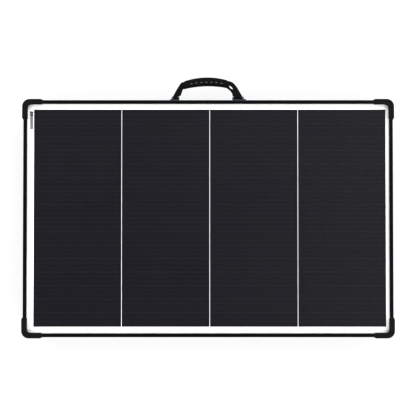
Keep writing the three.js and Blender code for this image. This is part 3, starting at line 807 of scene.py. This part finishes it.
# The blanking cap of a junction box: a hexagon nut, then a dome, as radius, height and sides.
NUT_RADIUS = 7.2 * MM
CAP_PROFILE = (
    (NUT_RADIUS * 0.92, 3.4 * MM, 6),
    (NUT_RADIUS, 4.0 * MM, 6),
    (NUT_RADIUS, 8.6 * MM, 6),
    (NUT_RADIUS * 0.93, 9.2 * MM, 6),
    (6.0 * MM, 9.5 * MM),
    (5.6 * MM, 11.0 * MM),
    (4.4 * MM, 12.2 * MM),
    (2.2 * MM, 12.9 * MM),
    (0.3 * MM, 13.0 * MM),
)


def gland_caps(leaf, material):
    """A hexagon nut and a blanking cap on each outlet of the junction box."""
    low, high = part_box(f"{leaf}_junction_box")
    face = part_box(f"{leaf}_junction_lid")[1].y
    shape = Shape()
    for share in (1 / 3, 2 / 3):
        outlet = (low.x + (high.x - low.x) * share, face, (low.z + high.z) / 2)
        turned(shape, facing(outlet, (0, 1, 0)), CAP_PROFILE, 36)
    return shape.piece(f"{leaf}_gland_caps", f"{leaf}_panel", "junction_plastic", material)


SEALANT = 1.5 * MM


def box_sealant(leaf, material):
    """The bead of sealant squeezed out round the foot of the junction box."""
    low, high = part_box(f"{leaf}_junction_lid")
    box_low, box_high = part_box(f"{leaf}_junction_box")
    foot = box_high.z if leaf == "front" else box_low.z
    out = OUTWARDS[leaf]
    middle, half = (low + high) / 2, (high - low) / 2
    count = 96
    rings = []
    for i in range(count):
        angle = math.tau * i / count
        c, s = math.cos(angle), math.sin(angle)
        # The square round the circle: its sides lie along the sides of the box.
        wide, tall = abs(c) >= abs(s), abs(s) >= abs(c)
        away = Vector((math.copysign(wide, c), math.copysign(tall, s), 0))
        reach = 1 / max(abs(c), abs(s))
        x, y = middle.x + half.x * c * reach, middle.y + half.y * s * reach
        swell = SEALANT * (1 + 0.16 * math.sin(7 * angle + 1.3) + 0.1 * math.sin(17 * angle))
        ring = []
        for k in range(7):
            turn = math.pi * k / 6
            spot = Vector((x, y, 0)) + away * swell * math.sin(turn)
            spot.z = foot - out * swell * (0.5 + 0.5 * math.cos(turn)) + out * 0.3 * MM
            ring.append(spot)
        rings.append(ring)
    shape = Shape()
    shape.skin(rings, loop=True)
    return shape.piece(f"{leaf}_box_sealant", f"{leaf}_panel", "grip_rubber", material)


# A ribbed rubber sleeve on the stand's crossbar.
SLEEVE_LENGTH = 34.0 * MM
SLEEVE_RADIUS = 7.2 * MM
SLEEVE_RIBS = 7
SLEEVE_FROM_ARM = 14 * MM


def sleeves(leaf, material):
    """Ribbed rubber feet on the crossbar of the stand, one near each arm."""
    low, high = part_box(f"{leaf}_stand_crossbar")
    middle = (low + high) / 2
    rim, end, half_rib = SLEEVE_RADIUS - 0.6 * MM, 0.4 * MM, 0.5 * MM
    profile = [(rim, 0.0), (SLEEVE_RADIUS, end)]
    for i in range(SLEEVE_RIBS):
        at = 1.2 * MM + (SLEEVE_LENGTH - 2.4 * MM) * i / (SLEEVE_RIBS - 1)
        profile.append((SLEEVE_RADIUS, at - half_rib))
        profile.append((SLEEVE_RADIUS + half_rib, at))
        profile.append((SLEEVE_RADIUS, at + half_rib))
    profile.extend([(SLEEVE_RADIUS, SLEEVE_LENGTH - end), (rim, SLEEVE_LENGTH)])
    profile.sort(key=lambda step: step[1])
    shape = Shape()
    for side, arm in ((1, high.y), (-1, low.y)):
        spot = (middle.x, arm - side * SLEEVE_FROM_ARM, middle.z)
        turned(shape, facing(spot, (0, -side, 0)), profile, 28)
    return shape.piece(f"{leaf}_stand_sleeves", f"{leaf}_stand", "grip_rubber", material)


# ---- Finishes for the CAD pieces ----


def dress(node, material, edge=None, width=0.25 * MM):
    """Gives a CAD piece its material, and a fine rounded edge of its own finish."""
    made = NODES[node]
    slots = made.data.materials
    slots.clear()
    slots.append(material)
    if not edge:
        return
    slots.append(edge)
    weld = made.modifiers.new("weld", "WELD")
    weld.merge_threshold = 0.01 * MM
    bevel = made.modifiers.new("edges", "BEVEL")
    bevel.width = width
    bevel.segments = 2
    bevel.limit_method = "ANGLE"
    bevel.angle_limit = math.radians(40)
    bevel.material = 1
    bevel.harden_normals = True


def dress_all():
    rubbed = worn("rubbed_anodised", 0.014, 0.05, 0.7)
    scuffed = worn("scuffed_plastic", 0.014, 0.034, 0.0)
    chipped = worn("rubbed_coating", 0.03, 0.09, 0.5)
    bright = worn("rubbed_zinc", 0.3, 0.6, 1.0)
    along_x = anodised("anodised_along_x", 0)
    along_y = anodised("anodised_along_y", 1, 1.2)
    tube = anodised("anodised_tube", 0, 2.0)
    guard = moulded("guard_plastic", 0.0034, 0.0056, 0.55 * MM, 0.48)
    box = moulded("junction_plastic", 0.014, 0.022, 0.8 * MM, 0.5)
    coat = powder_coat("dark_powder_coat", 0.016, 0.026)
    plating = zinc()
    white = laminate()
    clear = solar_glass()
    paper = printed("label_paper", 0.72, 0.8)
    for node, slot in SLOT_OF.items():
        if slot == "frame":
            if "stand" in node:
                dress(node, tube, rubbed, 0.4 * MM)
            elif node.endswith(("_left", "_right", "_cross_rail")):
                dress(node, along_y, rubbed)
            else:
                dress(node, along_x, rubbed)
        elif slot == "corner_plastic":
            dress(node, guard, scuffed, 0.5 * MM)
        elif slot == "junction_plastic":
            dress(node, box, scuffed, 0.6 * MM)
        elif slot == "dark_steel":
            dress(node, coat, chipped)
        elif slot == "steel":
            dress(node, plating, bright, 0.15 * MM)
        elif slot == "backsheet":
            dress(node, white)
        elif slot == "glass":
            dress(node, clear)
        elif slot == "label":
            dress(node, paper)


# ---- Assembly ----

silicon_strips = silicon()
black_rubber = rubber("black_rubber", 0.0026, 0.0044)
seal_rubber = rubber("seal_rubber", 0.006, 0.010)
cap_plastic = moulded("cap_plastic", 0.012, 0.02, 0.6 * MM, 0.45)
screw_coat = powder_coat("black_screw_coat", 0.02, 0.035)
dress_all()
for leaf in LEAVES:
    cells(leaf, silicon_strips)
    glass_seal(leaf, seal_rubber)
    screws(leaf, screw_coat)
    gland_caps(leaf, cap_plastic)
    box_sealant(leaf, seal_rubber)
    sleeves(leaf, black_rubber)
label_print(
    printed("label_dark_ink", 0.014, 0.03),
    printed("label_pale_ink", 0.055, 0.085),
    printed("label_grey_ink", 0.27, 0.34),
)

strap = Shape()
for leg in (LEFT_LEG, RIGHT_LEG, RIGHT_INNER):
    web_band(strap, web_path(leg))
strap.piece("handle_webbing", "handle", "webbing", webbing(), ("handle_strap",), flat_over=60.0)
thread = Shape()
stitches(thread, LEFT_LEG)
stitches(thread, RIGHT_LEG)
thread.piece("handle_stitches", "handle", "webbing", rubber("dark_thread", 0.012, 0.022))
grip(black_rubber)
# The studs are paler than the grip: a painted highlight on each raised lozenge.
grip_studs(printed("stud_painted_highlight", 0.05, 0.11))

# ---- Studio ----


def studio_floor():
    half = 20.0
    mesh = bpy.data.meshes.new("floor")
    corners = [(-half, -half), (half, -half), (half, half), (-half, half)]
    mesh.from_pydata([(x, y, -0.2 * MM) for x, y in corners], [], [(0, 1, 2, 3)])
    m = Nodes("studio_white")
    shade = m.spread(m.noise(0.6, 2.0), 0.3, 0.7)
    colour = m.tint(shade, (0.2, 0.2, 0.2), (0.21, 0.21, 0.21))
    glow = {"Emission_Color": (1.0, 1.0, 1.0, 1.0), "Emission_Strength": 0.42}
    mesh.materials.append(m.coat(colour, 0.9, **glow))
    floor = bpy.data.objects.new("floor", mesh)
    bpy.context.scene.collection.objects.link(floor)


LIGHT_DISTANCE = 3.5
LIGHT_SIZE = 2.2
LIGHT_ELEVATION = 40


def soft_light(name, azimuth, watts):
    lamp = bpy.data.lights.new(name, "AREA")
    lamp.energy = watts
    lamp.shape = "SQUARE"
    lamp.size = LIGHT_SIZE
    around, up = math.radians(azimuth), math.radians(LIGHT_ELEVATION)
    away = Vector((math.cos(around) * math.cos(up), math.sin(around) * math.cos(up), math.sin(up)))
    made = bpy.data.objects.new(name, lamp)
    made.location = away * LIGHT_DISTANCE
    made.rotation_euler = away.to_track_quat("Z", "Y").to_euler()
    bpy.context.scene.collection.objects.link(made)


def studio_sky():
    """Dim overhead, a little brighter towards +X and +Y, and pale near the horizon."""
    world = bpy.data.worlds.new("studio_sky")
    bpy.context.scene.world = world
    world.use_nodes = True
    tree = world.node_tree
    tree.nodes.clear()
    direction = tree.nodes.new("ShaderNodeTexCoord").outputs["Generated"]

    def dotted(vector):
        made = tree.nodes.new("ShaderNodeVectorMath")
        made.operation = "DOT_PRODUCT"
        tree.links.new(direction, made.inputs[0])
        made.inputs[1].default_value = vector
        return made.outputs["Value"]

    def ranged(value, low, high, to_low, to_high):
        made = tree.nodes.new("ShaderNodeMapRange")
        tree.links.new(value, made.inputs[0])
        for i, number in enumerate((low, high, to_low, to_high), 1):
            made.inputs[i].default_value = number
        return made.outputs[0]

    overhead = ranged(dotted((0.55, 0.4, 0.0)), -0.2, 0.2, 0.04, 0.34)
    horizon = ranged(dotted((0.0, 0.0, 1.0)), 0.85, 0.3, 0.0, 0.75)
    total = tree.nodes.new("ShaderNodeMath")
    total.operation = "ADD"
    tree.links.new(overhead, total.inputs[0])
    tree.links.new(horizon, total.inputs[1])
    glow = tree.nodes.new("ShaderNodeBackground")
    tree.links.new(total.outputs[0], glow.inputs["Strength"])
    glow.inputs["Color"].default_value = (1.0, 1.0, 1.0, 1.0)
    tree.links.new(glow.outputs[0], tree.nodes.new("ShaderNodeOutputWorld").inputs["Surface"])


CAMERA_DISTANCE = 1.5
CAMERA_LEAN = 1.05


def studio_camera():
    """Nearly straight down, very slightly from the hinge side."""
    camera = bpy.data.cameras.new("camera")
    camera.sensor_width = 36.0
    camera.lens = 68.06
    camera.clip_end = 100.0
    made = bpy.data.objects.new("camera", camera)
    lean = math.radians(CAMERA_LEAN)
    target = Vector((-0.15 * MM, -0.3 * MM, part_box("front_rail_left")[1].z))
    made.location = target + CAMERA_DISTANCE * Vector((0.0, -math.sin(lean), math.cos(lean)))
    made.rotation_euler = (lean, 0.0, 0.0)
    bpy.context.scene.collection.objects.link(made)
    bpy.context.scene.camera = made


def studio_look():
    """The firm contrast of a product photograph: clean white and deep black."""
    look = bpy.context.scene.view_settings
    look.view_transform = "Standard"
    look.exposure = 0.7
    look.gamma = 0.78


studio_floor()
studio_sky()
for name, azimuth, watts in (
    ("light_back_right", 45, 54),
    ("light_back_left", 135, 50),
    ("light_front_left", 225, 50),
    ("light_front_right", 315, 54),
):
    soft_light(name, azimuth, watts)
studio_camera()
studio_look()
